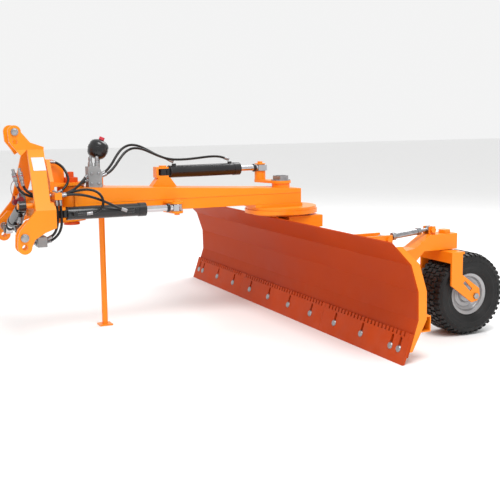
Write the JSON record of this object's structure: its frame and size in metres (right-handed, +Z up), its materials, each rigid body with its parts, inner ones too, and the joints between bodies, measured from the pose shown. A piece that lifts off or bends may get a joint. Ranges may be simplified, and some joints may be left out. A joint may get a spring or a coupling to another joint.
{
  "type": "rear blade with gauge wheel",
  "caption": "Hydraulic rear blade for a tractor's three-point linkage: hitch frame, swinging beam, turning blade with bolted cutting edges, and a gauge wheel on a caster fork.",
  "frame": {"origin": "on the ground under the middle of the machine's overall box", "axes": "+X rearwards from the tractor hitch to the gauge wheel, +Y to the machine's right-hand side, +Z up"},
  "size_m": [2.5246, 2.75, 1.171],
  "materials": {
    "orange_paint": "gloss",
    "zinc_steel": "zinc plated",
    "wear_steel": "painted edge steel",
    "cast_aluminium": "as cast",
    "black_paint": "satin",
    "chrome_rod": "polished",
    "hose_rubber": "matte",
    "tyre_rubber": "matte",
    "rim_paint": "silver",
    "cap_plastic": "moulded"
  },
  "bodies": {
    "hitch_frame": {"hitch_side_plate_left": "orange_paint", "hitch_side_plate_right": "orange_paint", "hitch_inner_lugs": "orange_paint", "hitch_cross_plates": "orange_paint", "tilt_housing": "orange_paint", "top_link_pin": "zinc_steel", "lower_link_pins": "zinc_steel", "linch_pins": "zinc_steel", "quick_couplers": "zinc_steel", "dust_caps": "cap_plastic", "check_valve": "zinc_steel", "supply_hoses_front": "hose_rubber", "tilt_short_hoses": "hose_rubber"},
    "tilt_head": {"tilt_shaft": "orange_paint", "tilt_nut": "zinc_steel", "tilt_plate": "orange_paint", "swing_yoke": "orange_paint", "swing_pin": "zinc_steel", "supply_hoses_rear": "hose_rubber", "swing_hoses": "hose_rubber", "tilt_hoses": "hose_rubber"},
    "tilt_barrel": {"tilt_cylinder_barrel": "black_paint"},
    "tilt_rod": {"tilt_cylinder_rod": "chrome_rod"},
    "swing_barrel": {"swing_cylinder_barrel": "black_paint"},
    "swing_rod": {"swing_cylinder_rod": "chrome_rod"},
    "beam": {"beam_lower_channel": "orange_paint", "beam_upper_channel": "orange_paint", "beam_front_boss": "orange_paint", "beam_end_plate": "orange_paint", "turntable_upper_disc": "orange_paint", "cylinder_brackets": "orange_paint", "valve_block": "cast_aluminium", "accumulator": "black_paint", "accumulator_cap": "cap_plastic", "stand_sleeve": "orange_paint", "turn_hoses": "hose_rubber"},
    "stand": {"stand_leg": "orange_paint"},
    "stand_clamp": {"stand_clamp_screw": "zinc_steel"},
    "turn_barrel": {"turn_cylinder_barrel": "black_paint"},
    "turn_rod": {"turn_cylinder_rod": "chrome_rod"},
    "blade": {"turntable_lower_disc": "orange_paint", "king_pin": "zinc_steel", "king_pin_nut": "zinc_steel", "turn_crank": "orange_paint", "blade_support": "orange_paint", "moldboard": "orange_paint", "blade_ribs": "orange_paint", "cutting_edge_left": "wear_steel", "cutting_edge_middle": "wear_steel", "cutting_edge_right": "wear_steel", "edge_bolts": "zinc_steel", "wheel_bracket": "orange_paint"},
    "arm": {"wheel_arm": "orange_paint"},
    "link_front": {"turnbuckle_front_eye": "zinc_steel"},
    "link_sleeve": {"turnbuckle_sleeve": "zinc_steel"},
    "link_rear": {"turnbuckle_rear_eye": "zinc_steel"},
    "fork": {"wheel_fork": "orange_paint", "wheel_axle": "zinc_steel"},
    "wheel": {"wheel_rim": "rim_paint", "tyre": "tyre_rubber"}
  },
  "joints": [
    {"name": "tilt", "type": "hinge", "parent": "hitch_frame", "child": "tilt_head", "pos_m": [-1.1503, 0, 0.755], "axis": [1, 0, 0], "range_deg": [-10, 10], "deforming": ["supply_hoses_front", "tilt_hoses"]},
    {"name": "tilt_barrel_roll", "type": "hinge", "parent": "hitch_frame", "child": "tilt_barrel", "pos_m": [-1.2163, -0.25, 0.76], "axis": [1, 0, 0], "range_deg": [-6, 6], "deforming": ["tilt_short_hoses"]},
    {"name": "tilt_rod_slide", "type": "slide", "parent": "tilt_barrel", "child": "tilt_rod", "axis": [0, 0.9331, -0.3596], "range_m": [-0.018, 0.018]},
    {"name": "swing", "type": "hinge", "parent": "tilt_head", "child": "beam", "pos_m": [-0.9003, 0, 0.755], "axis": [0, 0, 1], "range_deg": [-14, 14], "deforming": ["supply_hoses_rear"]},
    {"name": "swing_barrel_yaw", "type": "hinge", "parent": "tilt_head", "child": "swing_barrel", "pos_m": [-1.0113, -0.2, 0.706], "axis": [0, 0, 1], "range_deg": [-14, 14], "deforming": ["swing_hoses"]},
    {"name": "swing_rod_slide", "type": "slide", "parent": "swing_barrel", "child": "swing_rod", "axis": [0.9999, 0.0118, 0], "range_m": [-0.056, 0.056]},
    {"name": "turn", "type": "hinge", "parent": "beam", "child": "blade", "pos_m": [0.3997, 0, 0.624], "axis": [0, 0, 1], "range_deg": [-25, 25]},
    {"name": "turn_barrel_yaw", "type": "hinge", "parent": "beam", "child": "turn_barrel", "pos_m": [-0.3403, 0.06, 0.89], "axis": [0, 0, 1], "range_deg": [-4, 4], "deforming": ["turn_hoses"]},
    {"name": "turn_rod_slide", "type": "slide", "parent": "turn_barrel", "child": "turn_rod", "axis": [0.9935, 0.1139, 0], "range_m": [-0.07, 0.07]},
    {"name": "arm_pitch", "type": "hinge", "parent": "blade", "child": "arm", "pos_m": [0.4897, -0.934, 0.43], "axis": [0, -1, 0], "range_deg": [-6, 6]},
    {"name": "turnbuckle_pitch", "type": "hinge", "parent": "blade", "child": "link_front", "pos_m": [0.5197, -0.934, 0.56], "axis": [0, -1, 0], "range_deg": [-8, 8]},
    {"name": "turnbuckle_spin", "type": "hinge", "parent": "link_front", "child": "link_sleeve", "pos_m": [0.5197, -0.934, 0.56], "axis": [0.9951, 0, 0.0993], "range_deg": [-620, 620]},
    {"name": "turnbuckle_slide", "type": "slide", "parent": "link_front", "child": "link_rear", "axis": [0.9951, 0, 0.0993], "range_m": [-0.015, 0.015]},
    {"name": "fork_swivel", "type": "hinge", "parent": "arm", "child": "fork", "pos_m": [0.9247, -0.934, 0.48], "axis": [0, 0, 1], "range_deg": [-90, 90]},
    {"name": "wheel_spin", "type": "hinge", "parent": "fork", "child": "wheel", "pos_m": [1.0337, -0.934, 0.2286], "axis": [0, 1, 0], "continuous": true},
    {"name": "stand_slide", "type": "slide", "parent": "beam", "child": "stand", "axis": [0, 0, 1], "range_m": [0, 0.3]},
    {"name": "stand_clamp_turn", "type": "hinge", "parent": "beam", "child": "stand_clamp", "pos_m": [-0.6893, 0.15, 0.664], "axis": [0, 1, 0], "range_deg": [-180, 180]}
  ],
  "couplings": [
    {"joint": "tilt_barrel_roll", "follows": "tilt", "ratio": 0.4715},
    {"joint": "tilt_rod_slide", "follows": "tilt", "m_per_rad": 0.08516},
    {"joint": "swing_barrel_yaw", "follows": "swing", "ratio": 0.8293},
    {"joint": "swing_rod_slide", "follows": "swing", "m_per_rad": 0.19732},
    {"joint": "turn_barrel_yaw", "follows": "turn", "ratio": -0.0752},
    {"joint": "turn_rod_slide", "follows": "turn", "m_per_rad": -0.14619},
    {"joint": "turnbuckle_pitch", "follows": "arm_pitch", "ratio": 1.1391},
    {"joint": "turnbuckle_slide", "follows": "arm_pitch", "m_per_rad": -0.12605},
    {"joint": "turnbuckle_spin", "follows": "arm_pitch", "ratio": -98.999}
  ]
}
